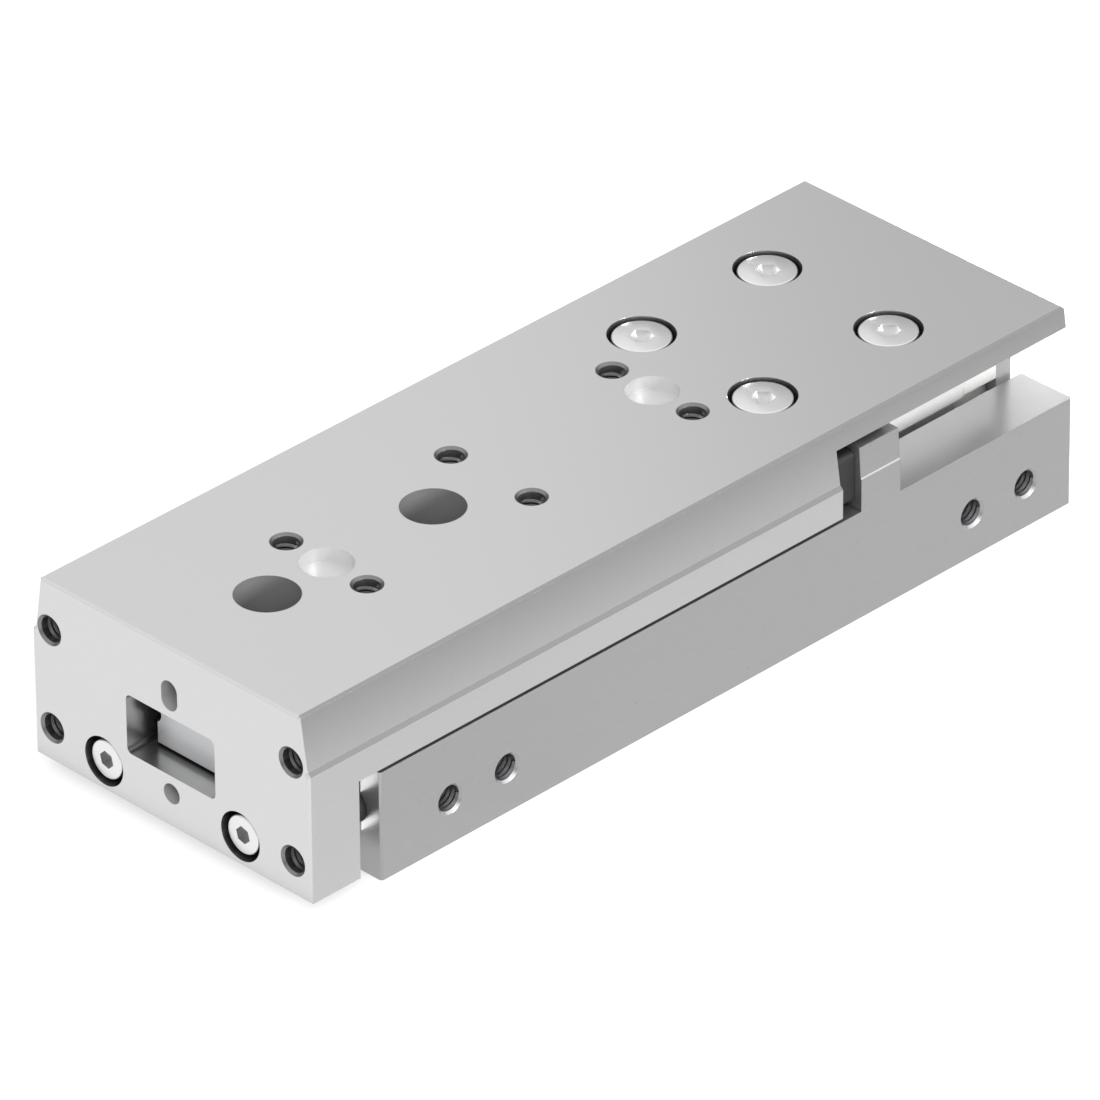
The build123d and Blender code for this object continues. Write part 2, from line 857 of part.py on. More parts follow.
def o_ring(centre_x, side):
    """Static ring squeezed between a turned groove and the bore, drawn with a square section."""
    inner = o_ring_groove_radius + thread_clearance
    outer = bore_radius - thread_clearance
    span = (centre_x - o_ring_half_width, centre_x + o_ring_half_width)
    return ring_about_x(inner, outer, *span, side)


def retaining_ring(start, side):
    """Spring ring in its groove, open at the bottom."""
    outer = bore_radius + ring_groove_depth - thread_clearance
    ring = ring_about_x(outer - ring_band, outer, start, start + ring_width, side)
    reach = 2 * outer
    spread = reach * math.sin(math.radians(ring_mouth / 2))
    drop = reach * math.cos(math.radians(ring_mouth / 2))
    mouth = make_face(Polyline((0, 0), (-spread, -drop), (spread, -drop), close=True))
    wedge = extrude(Plane.YZ.offset(start) * mouth, ring_width)
    return ring - Pos(0, side * bore_y, bore_height) * wedge


def rear_plug(side):
    """Plug that closes the bore at the rear, with a puller thread."""
    outer = bore_radius - thread_clearance
    middle = (plug_front_x + plug_rear_x) / 2
    groove_start = middle - o_ring_groove_width / 2
    groove_end = middle + o_ring_groove_width / 2
    profile = [
        (plug_front_x, 0),
        (plug_front_x, outer),
        (groove_start, outer),
        (groove_start, o_ring_groove_radius),
        (groove_end, o_ring_groove_radius),
        (groove_end, outer),
        (plug_rear_x, outer),
        (plug_rear_x, puller_radius),
        (plug_rear_x - puller_depth, puller_radius),
        (plug_rear_x - puller_depth, 0),
    ]
    return turned(profile, side * bore_y, bore_height)


def front_buffer(side):
    """Elastomer pin in the housing front that stops the yoke."""
    tip_x = yoke_back_x + stop_clearance
    end_x = housing_front_x + buffer_seat_depth
    radius = front_buffer_radius - press_allowance
    profile = [
        (tip_x, 0),
        (tip_x, radius - edge_break),
        (tip_x + edge_break, radius),
        (end_x, radius),
        (end_x, 0),
    ]
    return turned(profile, *front_buffer_place(side))


def lug_buffer(side):
    """Elastomer pad in front of a stop lug, held by its pin."""
    y, z = lug_buffer_place(side)
    face_x = skirt_end_x + stop_clearance
    pad_face = RectangleRounded(lug_buffer_width, lug_buffer_height, lug_buffer_corner)
    pad = extrude(Plane.YZ.offset(face_x) * Pos(y, z) * pad_face, lug_front_x - face_x)
    pin_end = lug_front_x + lug_buffer_pin_length
    return pad + bar_x(lug_buffer_pin - press_allowance, lug_front_x, pin_end, y, z)


def cylinder_pieces(name, side):
    """Every piece of one cylinder, by node name."""
    gland_ring_x = gland_front_x + gland_o_ring_offset + o_ring_groove_width / 2
    plug_ring_x = (plug_front_x + plug_rear_x) / 2
    magnet_span = (magnet_front_x, magnet_rear_x)
    magnet_inner = spigot_radius + sliding_clearance
    bumper_span = (bumper_front_x, piston_front_x)
    bumper_inner = rod_radius + sliding_clearance
    return {
        f"piston_rod_{name}": piston_rod(side),
        f"piston_front_{name}": piston_half(piston_front_x, magnet_front_x, front_groove_x(), side),
        f"piston_magnet_{name}": ring_about_x(magnet_inner, magnet_radius, *magnet_span, side),
        f"piston_rear_{name}": piston_half(magnet_rear_x, piston_rear_x, rear_groove_x(), side),
        f"piston_seals_{name}": piston_seals(side),
        f"piston_bumper_{name}": ring_about_x(bumper_inner, bumper_radius, *bumper_span, side),
        f"piston_nut_{name}": piston_nut(side),
        f"rod_gland_{name}": rod_gland(side),
        f"rod_seal_{name}": rod_seal(side),
        f"gland_o_ring_{name}": o_ring(gland_ring_x, side),
        f"gland_ring_{name}": retaining_ring(gland_front_x - ring_width, side),
        f"rear_plug_{name}": rear_plug(side),
        f"plug_o_ring_{name}": o_ring(plug_ring_x, side),
        f"plug_ring_{name}": retaining_ring(plug_rear_x, side),
        f"front_buffer_{name}": front_buffer(side),
        f"lug_buffer_{name}": lug_buffer(side),
        f"ball_row_{name}": ball_row(side),
    }


front_cap_face = block_front_x - end_cap_length
rear_cap_face = block_rear_x + end_cap_length
nodes = {
    "slide_table": slide_table(),
    "housing_block": housing_block(),
    "guide_rail": guide_rail(),
    "rail_screws": rail_screws(),
    "carriage_block": carriage_block(),
    "end_cap_front": end_cap(block_front_x, -1),
    "end_cap_rear": end_cap(block_rear_x, 1),
    "end_seal_front": end_seal(front_cap_face, -1),
    "end_seal_rear": end_seal(rear_cap_face, 1),
    "end_cap_screws": end_cap_screws(),
    "carriage_screws": carriage_screws(),
    "rod_screws": rod_screws(),
}
for name, side in sides.items():
    nodes.update(cylinder_pieces(name, side))
os.makedirs("parts", exist_ok=True)
for node, shape in nodes.items():
    export_step(shape, f"parts/{node}.step")
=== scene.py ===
import json
import math

import bpy
from mathutils import Matrix, Vector


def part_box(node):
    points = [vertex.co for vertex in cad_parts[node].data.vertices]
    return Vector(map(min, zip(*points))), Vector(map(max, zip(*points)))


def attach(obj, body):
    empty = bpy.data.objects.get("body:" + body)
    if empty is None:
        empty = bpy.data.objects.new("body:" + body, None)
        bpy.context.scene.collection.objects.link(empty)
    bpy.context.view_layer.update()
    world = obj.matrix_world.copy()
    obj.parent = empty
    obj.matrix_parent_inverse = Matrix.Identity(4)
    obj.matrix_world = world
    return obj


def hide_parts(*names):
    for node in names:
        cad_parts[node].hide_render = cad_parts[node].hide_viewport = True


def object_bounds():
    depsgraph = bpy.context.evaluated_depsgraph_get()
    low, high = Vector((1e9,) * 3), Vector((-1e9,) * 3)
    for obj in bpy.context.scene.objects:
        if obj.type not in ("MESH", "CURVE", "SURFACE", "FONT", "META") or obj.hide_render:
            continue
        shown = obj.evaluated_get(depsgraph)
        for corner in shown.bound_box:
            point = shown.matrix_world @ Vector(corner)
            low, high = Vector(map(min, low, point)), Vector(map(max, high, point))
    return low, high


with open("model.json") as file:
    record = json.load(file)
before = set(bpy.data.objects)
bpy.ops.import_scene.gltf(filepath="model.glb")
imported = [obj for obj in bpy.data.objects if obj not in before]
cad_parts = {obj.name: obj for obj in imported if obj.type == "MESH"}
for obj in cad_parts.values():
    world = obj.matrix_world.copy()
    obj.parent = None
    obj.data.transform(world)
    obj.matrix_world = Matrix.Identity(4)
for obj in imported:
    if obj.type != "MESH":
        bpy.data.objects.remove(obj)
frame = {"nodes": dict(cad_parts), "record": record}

# Pneumatic slide table. All lengths are in metres, and MM turns a drawing size into them.
# X runs from the yoke's front face to the rear, and the photograph shows the -Y side.
MM = 0.001
cad_low, cad_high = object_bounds()

# Camera, from the photograph's viewing angle
CAMERA_PLACE = Vector((-677.4, -682.2, 607.7)) * MM
CAMERA_AZIMUTH = math.radians(-44.74)
CAMERA_ELEVATION = math.radians(31.93)
CAMERA_ROLL = math.radians(-0.484)
CAMERA_LENS = 421.1
CAMERA_SENSOR = 36.0

# Threads: the holes in the frame have the core diameter, the crests stand into them
M3_CORE_RADIUS = 1.25 * MM
M3_PITCH = 0.5 * MM
CREST_HEIGHT = 0.13 * MM
CREST_HALF_WIDTH = 0.248 * MM
THREAD_LEAD_IN = 0.45 * MM
THREAD_STEPS = 32
THREAD_MERGE = 0.0001 * MM

# Faces that the holes open in, and the ways out of them
YOKE_FACE_X = cad_low.x
TABLE_TOP_Z = cad_high.z
SIDE_FACE_Y = cad_low.y
BASE_Z = cad_low.z
UP = (0, 0, 1)
DOWN = (0, 0, -1)
FORWARD = (-1, 0, 0)
SIDEWAYS = (0, -1, 0)

# Thread places: distances are from the yoke's face, half spreads from the middle plane
TOP_THREADS = (18.9 * MM, 38.9 * MM, 58.9 * MM)
TOP_THREAD_HALF_SPREAD = 5.0 * MM
TOP_THREAD_DEPTH = 6.8 * MM
YOKE_THREAD_HALF_SPREAD = 15.0 * MM
YOKE_THREAD_HEIGHTS = (5.0 * MM, 15.0 * MM)
YOKE_THREAD_DEPTH = 5.85 * MM
SIDE_THREADS = (16.7 * MM, 23.55 * MM, 81.95 * MM, 88.9 * MM)
SIDE_THREAD_HEIGHT = 4.5 * MM
SIDE_THREAD_DEPTH = 4.5 * MM
BASE_THREADS = (31.8 * MM, 71.8 * MM)
BASE_THREAD_HALF_SPREAD = 14.2 * MM
BASE_THREAD_DEPTH = 4.8 * MM

# Screws: (radius, height) of the head, radius of the shank, (width, depth) of the socket
CARRIAGE_SCREW = ((2.75 * MM, 1.7 * MM), 1.2 * MM, (2.0 * MM, 1.0 * MM))
CARRIAGE_SCREW_RECESS = 0.2 * MM
CARRIAGE_SCREW_DISTANCES = (65.15 * MM, 81.15 * MM)
CARRIAGE_SCREW_HALF_SPREAD = 7.5 * MM
ROD_SCREW = ((1.9 * MM, 2.0 * MM), 0.9 * MM, (1.5 * MM, 1.3 * MM))
ROD_SCREW_RECESS = 0.3 * MM
ROD_SCREW_HALF_SPREAD = 8.5 * MM
ROD_SCREW_HEIGHT = 4.5 * MM
HEAD_SEGMENTS = 64
HEAD_RIM = 0.16 * MM
RIM_SEGMENTS = 3
HEXAGON = 6
TABLE_SOCKET_SHAPE = (0.62, math.radians(15))
ROD_SOCKET_SHAPE = (0.95, math.radians(15))

# Plain holes, each with a thin machined skin: (radius, depth), distances from the yoke's face
SKIN = 0.03 * MM
CENTRING = (2.5 * MM, 1.3 * MM)
TABLE_CENTRING = (18.9 * MM, 58.9 * MM)
BASE_CENTRING = (31.8 * MM, 71.8 * MM)
ACCESS = (3.0 * MM, 6.0 * MM)
TABLE_ACCESS = (11.8 * MM, 31.8 * MM)
DOWEL = (1.0 * MM, 4.0 * MM)
DOWEL_HEIGHT = 5.0 * MM
SLOT_LENGTH = 3.0 * MM
SLOT_HEIGHT = 15.0 * MM
THREAD_MOUTH = (1.5 * MM, 0.25 * MM)

# Modelling: least part of a face's normal along an axis that it faces, sharpest edge that
# is shaded smooth, and the margin in comparing lengths
STRAIGHT = 0.9
SMOOTH_ANGLE = math.radians(30)
TINY = 0.001 * MM

# Floor: glow in reflections in front of the yoke, along the side and far out from it, and
# for the camera the glow of the paper and its share
FLOOR_SIZE = 6.0
FLOOR_GAP = 0.02 * MM
GLOW_FRONT = 1.03
GLOW_SIDE = 0.74
GLOW_FAR = 0.04
GLOW_CAMERA = 1.25
GLOW_SHARE = 0.5
FRONT_RAMP = (-50 * MM, -47.5 * MM)
SIDE_RAMP = (-68 * MM, -48 * MM)

# World: darker ahead of the camera, where the table top's reflections look, and low down
WORLD_HEADING = (0.707, 0.707, 0.0)
WORLD_RAMP = (0.2, 0.9)
WORLD_BRIGHT = 1.25
WORLD_DARK = 0.71
HORIZON_RAMP = (0.1, 0.5)
HORIZON_SHARE = 0.25

# Painted shade in recesses: shares of open space where it is full and where it ends, and its
# tone
SOFT_SHADE = (0.04, 0.6, 0.1)
DEEP_SHADE = (0.3, 0.62, 0.0)
SOCKET_SHADE = (0.0, 0.5, 0.6)
SHADE_SAMPLES = 4

# Grain and edges: detail of the grain, rays for a rounded edge, and the product of a normal's
# Y and Z where the painted shade or highlight of a leaning face starts and where it is full
GRAIN_DETAIL = 3.0
EDGE_SAMPLES = 6
LEAN_RAMP = (0.3, 0.42)

# Sockets of a colour mix node: its share, its two colours and its result
MIX_SHARE = 0
MIX_FIRST = 6
MIX_SECOND = 7
MIX_RESULT = 2

WHITE = (1, 1, 1, 1)
SIDE_NAMES = {-1: "left", 1: "right"}
SIDES = tuple(SIDE_NAMES)


def linear(hex_colour):
    """Linear RGBA of an sRGB hex value."""
    levels = []
    for start in (1, 3, 5):
        level = int(hex_colour[start:start + 2], 16) / 255
        levels.append(level / 12.92 if level <= 0.04045 else ((level + 0.055) / 1.055) ** 2.4)
    return (*levels, 1.0)


def add(tree, kind, inputs, **settings):
    """Adds a node with its settings; an input is a value or the socket that feeds it."""
    node = tree.nodes.new(kind)
    for name, value in settings.items():
        setattr(node, name, value)
    for socket, value in inputs.items():
        if isinstance(value, bpy.types.NodeSocket):
            tree.links.new(value, node.inputs[socket])
        else:
            node.inputs[socket].default_value = value
    return node


def empty_material(name):
    """A new material without nodes, and its node tree."""
    material = bpy.data.materials.new(name)
    material.use_nodes = True
    material.node_tree.nodes.clear()
    return material, material.node_tree


def textured(name, colours, roughness, grain, stretch=(1, 1, 1), depth=0.0, edge=0.0,
             recess=0.0, shade=SOFT_SHADE, alone=False, slope=1.0, metallic=1.0, **sockets):
    """Solid material whose tone, gloss and relief follow one grain.

    colours is the darker and the lighter hex value, roughness its lowest and highest value,
    grain the width of a grain and stretch how much longer it is along each axis. depth is
    the height of the relief, and edge rounds the shading of edges. recess is how near a
    facing wall has to be for the tone to be darkened with painted shade, shade is one of the
    settings above, and alone leaves other pieces out of it. slope is the painted shade (below
    1) or painted highlight (above 1) of the narrow faces that lean halfway between a side and
    the top. sockets go to the shader as they are.
    """
    material, tree = empty_material(name)
    place = add(tree, "ShaderNodeTexCoord", {}).outputs["Object"]
    squeeze = [1 / s for s in stretch]
    place = add(tree, "ShaderNodeMapping", {"Vector": place, "Scale": squeeze}).outputs[0]
    noise = add(tree, "ShaderNodeTexNoise", {
        "Vector": place, "Scale": 1 / grain, "Detail": GRAIN_DETAIL})
    level = noise.outputs[0]
    darker, lighter = (linear(colour) for colour in colours)
    tone = add(tree, "ShaderNodeMix", {
        MIX_SHARE: level, MIX_FIRST: darker, MIX_SECOND: lighter}, data_type="RGBA")
    # Painted shade: the tone darkens where ambient occlusion finds walls nearer than recess
    if recess:
        open_sky = add(tree, "ShaderNodeAmbientOcclusion", {"Distance": recess},
                       samples=SHADE_SAMPLES, only_local=alone)
        closed, opened, least = shade
        dimming = add(tree, "ShaderNodeMapRange", {
            "Value": open_sky.outputs["AO"], "From Min": closed, "From Max": opened,
            "To Min": least, "To Max": 1.0})
        tone = add(tree, "ShaderNodeMix", {
            MIX_SHARE: 1.0, MIX_FIRST: tone.outputs[MIX_RESULT],
            MIX_SECOND: dimming.outputs[0]},
            data_type="RGBA", blend_type="MULTIPLY")
    # Painted shade or highlight: faces leaning between a side and the top get their tone scaled
    # by slope
    if slope != 1.0:
        facing = add(tree, "ShaderNodeTexCoord", {}).outputs["Normal"]
        facing = add(tree, "ShaderNodeSeparateXYZ", {"Vector": facing})
        lean = add(tree, "ShaderNodeMath", {
            0: facing.outputs["Y"], 1: facing.outputs["Z"]}, operation="MULTIPLY")
        lean = add(tree, "ShaderNodeMath", {0: lean.outputs[0]}, operation="ABSOLUTE")
        share = add(tree, "ShaderNodeMapRange", {
            "Value": lean.outputs[0], "From Min": LEAN_RAMP[0], "From Max": LEAN_RAMP[1],
            "To Min": 1.0, "To Max": slope})
        tone = add(tree, "ShaderNodeMix", {
            MIX_SHARE: 1.0, MIX_FIRST: tone.outputs[MIX_RESULT],
            MIX_SECOND: share.outputs[0]},
            data_type="RGBA", blend_type="MULTIPLY")
    gloss = add(tree, "ShaderNodeMapRange", {
        "Value": level, "To Min": roughness[0], "To Max": roughness[1]})
    relief = add(tree, "ShaderNodeBump", {"Height": level, "Distance": depth, "Strength": 1.0})
    if edge:
        rounding = add(tree, "ShaderNodeBevel", {"Radius": edge}, samples=EDGE_SAMPLES)
        tree.links.new(rounding.outputs[0], relief.inputs["Normal"])
    shader = add(tree, "ShaderNodeBsdfPrincipled", {
        "Base Color": tone.outputs[MIX_RESULT], "Roughness": gloss.outputs[0],
        "Metallic": metallic, "Normal": relief.outputs[0], **sockets})
    add(tree, "ShaderNodeOutputMaterial", {"Surface": shader.outputs[0]})
    return material


def make_materials():
    """The materials: one for each slot of the record, and five for cut holes and sockets."""
    return {
        # Milled, then clear anodised: an even pale satin that blurs every reflection, with
        # painted shade in recesses and on the narrow leaning faces
        "table_aluminium": textured(
            "clear_anodised_aluminium_milled", ("#D8D8D8", "#DFDFDF"), (0.26, 0.32),
            0.16 * MM, depth=0.001 * MM, edge=0.05 * MM, recess=3.0 * MM,
            slope=0.5, metallic=0.95),
        # Extruded and clear anodised: a little greyer than the milled pieces, with painted
        # shade in recesses and a painted highlight on its narrow leaning faces
        "housing_aluminium": textured(
            "clear_anodised_aluminium_extruded", ("#B4B4B5", "#BCBCBD"), (0.26, 0.32),
            0.16 * MM, (6, 1, 1), depth=0.001 * MM, edge=0.08 * MM, recess=1.0 * MM,
            alone=True, slope=1.5, metallic=0.88),
        # Cut after anodising: bare flanks, coloured dark grey as painted shade for the depth of
        # the hole
        "aluminium_thread_cut": textured(
            "aluminium_thread_cut", ("#808082", "#949496"), (0.3, 0.42),
            0.05 * MM, depth=0.001 * MM),
        # Bored to size after anodising: bright metal that scatters light in its turning marks
        "aluminium_fine_bored": textured(
            "aluminium_fine_bored", ("#D6D6D6", "#E2E2E2"), (0.35, 0.45),
            0.05 * MM, depth=0.001 * MM, metallic=0.6),
        # Drilled through and anodised inside: an even dark grey that is painted shade
        "aluminium_drilled": textured(
            "aluminium_drilled_anodised", ("#707070", "#7A7A7A"), (0.5, 0.6),
            0.08 * MM, depth=0.001 * MM, metallic=0.0),
        # Reamed and anodised inside: an even middle grey that is painted shade
        "aluminium_reamed": textured(
            "aluminium_reamed_anodised", ("#989898", "#A2A2A2"), (0.5, 0.6),
            0.08 * MM, depth=0.001 * MM, metallic=0.0),
        # Hardened and ground lengthways: fine lines along the rail, with painted shade in
        # recesses
        "rail_steel": textured(
            "rail_steel_ground", ("#C0C1C2", "#CCCDCE"), (0.26, 0.36),
            0.05 * MM, (40, 1, 1), depth=0.001 * MM, edge=0.05 * MM, recess=1.0 * MM),
        # Ground runner block: near white on its face as a painted reflection, and painted shade
        # where the table closes over it
        "carriage_steel": textured(
            "runner_steel_ground", ("#F6F6F6", "#FFFFFF"), (0.3, 0.4),
            0.05 * MM, (40, 1, 1), depth=0.0008 * MM, edge=0.05 * MM, recess=2.4 * MM,
            shade=DEEP_SHADE, metallic=0.35),
        # Injection moulded acetal: dull and pale, with the same painted shade under the table
        "cap_plastic": textured(
            "acetal_moulded", ("#E6E6E4", "#EEEEEC"), (0.42, 0.52),
            0.3 * MM, depth=0.002 * MM, edge=0.05 * MM, recess=2.4 * MM,
            shade=DEEP_SHADE, metallic=0.0, IOR=1.48),
        # Rubber moulded on a thin plate: a dull grey
        "seal_plate": textured(
            "nitrile_rubber_on_plate", ("#989898", "#A4A4A4"), (0.55, 0.7),
            0.2 * MM, depth=0.003 * MM, metallic=0.0, IOR=1.5),
        # Cold headed stainless steel: bright, with a turned sheen
        "screw_steel": textured(
            "stainless_steel_headed", ("#E8E8E8", "#F8F8F8"), (0.26, 0.36),
            0.12 * MM, depth=0.0015 * MM, edge=0.05 * MM),
        # Screw with a small pressed socket: the same sheen outside, with painted shade inside
        # the socket
        "socket_steel": textured(
            "alloy_steel_pressed_socket", ("#E8E8E8", "#F8F8F8"), (0.26, 0.36),
            0.12 * MM, depth=0.0015 * MM, edge=0.05 * MM, recess=1.6 * MM, shade=SOCKET_SHADE),
        # Polished bearing balls: a clear mirror
        "ball_steel": textured(
            "bearing_steel_polished", ("#D2D3D5", "#DCDDDF"), (0.08, 0.12), 0.5 * MM),
        # Turned aluminium: rings of tool marks about the cylinder axis
        "piston_aluminium": textured(
            "aluminium_turned", ("#BFC0C2", "#D0D1D3"), (0.28, 0.4),
            0.06 * MM, (1, 30, 30), depth=0.001 * MM),
        # Ground and hard chromed rod: nearly a mirror
        "rod_steel": textured(
            "stainless_rod_ground", ("#CFD0D2", "#DADBDC"), (0.1, 0.18),
            0.04 * MM, (30, 1, 1), depth=0.0004 * MM),
        # Sintered and nickel plated: grey with a faint grain
        "magnet": textured(
            "magnet_nickel_plated", ("#8E8F92", "#A0A1A4"), (0.3, 0.45),
            0.1 * MM, depth=0.001 * MM),
        # Moulded nitrile rubber: black and dull, with a faintly uneven tone
        "elastomer": textured(
            "nitrile_rubber_moulded", ("#1B1B1D", "#29292C"), (0.5, 0.68),
            0.25 * MM, depth=0.003 * MM, metallic=0.0, IOR=1.52),
        # Turned bearing bronze: warm yellow brown
        "gland_bronze": textured(
            "bearing_bronze_turned", ("#B08D57", "#C29E66"), (0.3, 0.42),
            0.08 * MM, (1, 20, 20), depth=0.001 * MM),
        # Phosphated spring wire: dark and matt
        "spring_steel": textured(
            "spring_steel_phosphated", ("#3A3A3C", "#4A4A4D"), (0.45, 0.6),
            0.1 * MM, depth=0.002 * MM),
    }


def dress_nodes(materials):
    """Gives every node of the frame the material of its slot."""
    for part in frame["record"]["subparts"]:
        mesh = frame["nodes"][part["node"]].data
        mesh.materials.clear()
        mesh.materials.append(materials[part["material_slot"]])


def finish_piece(piece, name, body, material):
    """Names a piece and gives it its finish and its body."""
    piece.name = name
    piece.data.name = name
    piece.data.materials.clear()
    piece.data.materials.append(material)
    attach(piece, body)


def select(piece, kind, test):
    """Selects the faces or edges that pass a test, and leaves the piece in edit mode.

    A face is tested by its centre and normal, an edge by each of its ends.
    """
    mesh = piece.data
    bpy.ops.object.mode_set(mode="EDIT")
    bpy.ops.mesh.select_mode(type=kind)
    bpy.ops.mesh.select_all(action="DESELECT")
    bpy.ops.object.mode_set(mode="OBJECT")
    if kind == "FACE":
        for face in mesh.polygons:
            face.select = test(face.center, face.normal)
    else:
        for edge in mesh.edges:
            edge.select = all(test(mesh.vertices[end].co) for end in edge.vertices)
    bpy.ops.object.mode_set(mode="EDIT")


def upright_cylinder(vertices, radius, low, high):
    """Closed cylinder about the z axis, with its place in the mesh."""
    bpy.ops.object.select_all(action="DESELECT")
    middle = (0, 0, (low + high) / 2)
    bpy.ops.mesh.primitive_cylinder_add(
        vertices=vertices, radius=radius, depth=high - low, location=middle)
    bpy.ops.object.transform_apply(location=True)
    return bpy.context.object


def cut_with(piece, cutter):
    """Takes the cutter out of the piece and deletes the cutter."""
    bpy.ops.object.select_all(action="DESELECT")
    bpy.context.view_layer.objects.active = piece
    cut = piece.modifiers.new("cut", "BOOLEAN")
    cut.object = cutter
    cut.operation = "DIFFERENCE"
    bpy.ops.object.modifier_apply(modifier=cut.name)
    bpy.data.objects.remove(cutter)


def smooth(piece):
    """Smooth shading that keeps the sharp edges."""
    bpy.ops.object.mode_set(mode="OBJECT")
    bpy.ops.object.select_all(action="DESELECT")
    piece.select_set(True)
    bpy.context.view_layer.objects.active = piece
    bpy.ops.object.shade_smooth_by_angle(angle=SMOOTH_ANGLE)


def copy_piece(piece, place):
    """Copy of a modelled piece with its own mesh, moved by a matrix."""
    twin = piece.copy()
    twin.data = piece.data.copy()
    twin.data.transform(place)
    bpy.context.scene.collection.objects.link(twin)
    return twin


def thread_lining(depth):
    """Crest of an M3 thread, hanging down from z = 0 in a hole of the core diameter."""
    bpy.ops.object.select_all(action="DESELECT")
    bpy.ops.mesh.primitive_circle_add(vertices=4, radius=1, rotation=(math.pi / 2, 0, 0))
    crest = bpy.context.object
    bpy.ops.object.transform_apply(rotation=True)
    bpy.ops.object.mode_set(mode="EDIT")
    bpy.ops.mesh.select_all(action="SELECT")
    bpy.ops.transform.resize(value=(CREST_HEIGHT, 1, CREST_HALF_WIDTH))
    bpy.ops.transform.translate(value=(M3_CORE_RADIUS, 0, -depth))
    bpy.ops.object.mode_set(mode="OBJECT")
    screw = crest.modifiers.new("screw", "SCREW")
    screw.axis = "Z"
    screw.angle = math.tau
    screw.screw_offset = M3_PITCH
    screw.iterations = int((depth - THREAD_LEAD_IN) / M3_PITCH)
    screw.steps = THREAD_STEPS
    screw.render_steps = THREAD_STEPS
    bpy.ops.object.modifier_apply(modifier=screw.name)
    bpy.ops.object.mode_set(mode="EDIT")
    bpy.ops.mesh.select_all(action="SELECT")
    bpy.ops.mesh.remove_doubles(threshold=THREAD_MERGE)
    bpy.ops.mesh.select_all(action="DESELECT")
    bpy.ops.mesh.select_mode(type="EDGE")
    bpy.ops.mesh.select_non_manifold()
    bpy.ops.mesh.fill()
    bpy.ops.mesh.select_all(action="SELECT")
    bpy.ops.mesh.normals_make_consistent(inside=False)
    smooth(crest)
    return crest


def into_hole(x, y, z, outward):
    """Matrix that turns a model's +Z to the way out of a hole, and moves it to the mouth."""
    turn = Vector(UP).rotation_difference(Vector(outward)).to_matrix().to_4x4()
    return Matrix.Translation((x, y, z)) @ turn


def make_threads(materials):
    """Thread crests in every M3 hole, and lead-ins in those of the table and the yoke."""
    cut = materials["aluminium_thread_cut"]
    table = ("slide", "table_aluminium")
    housing = ("housing", "housing_aluminium")
    rows = []
    for distance in TOP_THREADS:
        for side in SIDES:
            place = into_hole(
                YOKE_FACE_X + distance, side * TOP_THREAD_HALF_SPREAD, TABLE_TOP_Z, UP)
            rows.append(("table_thread", *table, TOP_THREAD_DEPTH, place))
    for height in YOKE_THREAD_HEIGHTS:
        for side in SIDES:
            place = into_hole(YOKE_FACE_X, side * YOKE_THREAD_HALF_SPREAD, height, FORWARD)
            rows.append(("yoke_thread", *table, YOKE_THREAD_DEPTH, place))
    for distance in SIDE_THREADS:
        place = into_hole(YOKE_FACE_X + distance, SIDE_FACE_Y, SIDE_THREAD_HEIGHT, SIDEWAYS)
        rows.append(("side_thread", *housing, SIDE_THREAD_DEPTH, place))
    for distance in BASE_THREADS:
        for side in SIDES:
            place = into_hole(
                YOKE_FACE_X + distance, side * BASE_THREAD_HALF_SPREAD, BASE_Z, DOWN)
            rows.append(("base_thread", *housing, BASE_THREAD_DEPTH, place))
    models = {}
    for index, (name, body, slot_name, depth, place) in enumerate(rows):
        if depth not in models:
            models[depth] = thread_lining(depth)
        piece = copy_piece(models[depth], place)
        finish_piece(piece, f"{name}_{index + 1}", body, cut)
    # The lead-ins carry the same dark grey: painted shade over the mouth chamfers
    mouth = hole_skin(THREAD_MOUTH, through=True, taper=M3_CORE_RADIUS / THREAD_MOUTH[0])
    for index, (name, body, slot_name, _, place) in enumerate(rows):
        if body == "slide":
            piece = copy_piece(mouth, place)
            finish_piece(piece, f"{name}_{index + 1}_mouth", body, cut)
    for model in [mouth, *models.values()]:
        bpy.data.objects.remove(model)


def socket_screw(head, shank_radius, socket, length, shape):
    """Screw with its head's face at z = 0: rounded rim, hexagon socket, shank.

    shape gives the share of its width that the socket keeps at its floor, and its turn
    about the screw's axis.
    """
    head_radius, head_height = head
    socket_width, socket_depth = socket
    taper, turn = shape
    screw = upright_cylinder(HEAD_SEGMENTS, head_radius, -head_height, 0)
    select(screw, "FACE", lambda centre, normal: normal.z < -STRAIGHT)
    bpy.ops.mesh.inset(thickness=head_radius - shank_radius)
    bpy.ops.mesh.extrude_region_move(
        TRANSFORM_OT_translate={"value": (0, 0, head_height - length)})
    select(screw, "EDGE", lambda end: end.z > -TINY)
    bpy.ops.mesh.bevel(offset=HEAD_RIM, segments=RIM_SEGMENTS, affect="EDGES")
    bpy.ops.object.mode_set(mode="OBJECT")
    corner = socket_width / math.sqrt(3)
    cutter = upright_cylinder(HEXAGON, corner, -socket_depth, 0)
    select(cutter, "FACE", lambda centre, normal: normal.z < -STRAIGHT)
    bpy.ops.transform.resize(value=(taper, taper, 1))
    select(cutter, "FACE", lambda centre, normal: normal.z > STRAIGHT)
    bpy.ops.mesh.extrude_region_move(TRANSFORM_OT_translate={"value": (0, 0, socket_depth)})
    bpy.ops.mesh.select_all(action="SELECT")
    bpy.ops.transform.rotate(value=turn, orient_axis="Z", center_override=(0, 0, 0))
    bpy.ops.object.mode_set(mode="OBJECT")
    cut_with(screw, cutter)
    smooth(screw)
    return screw


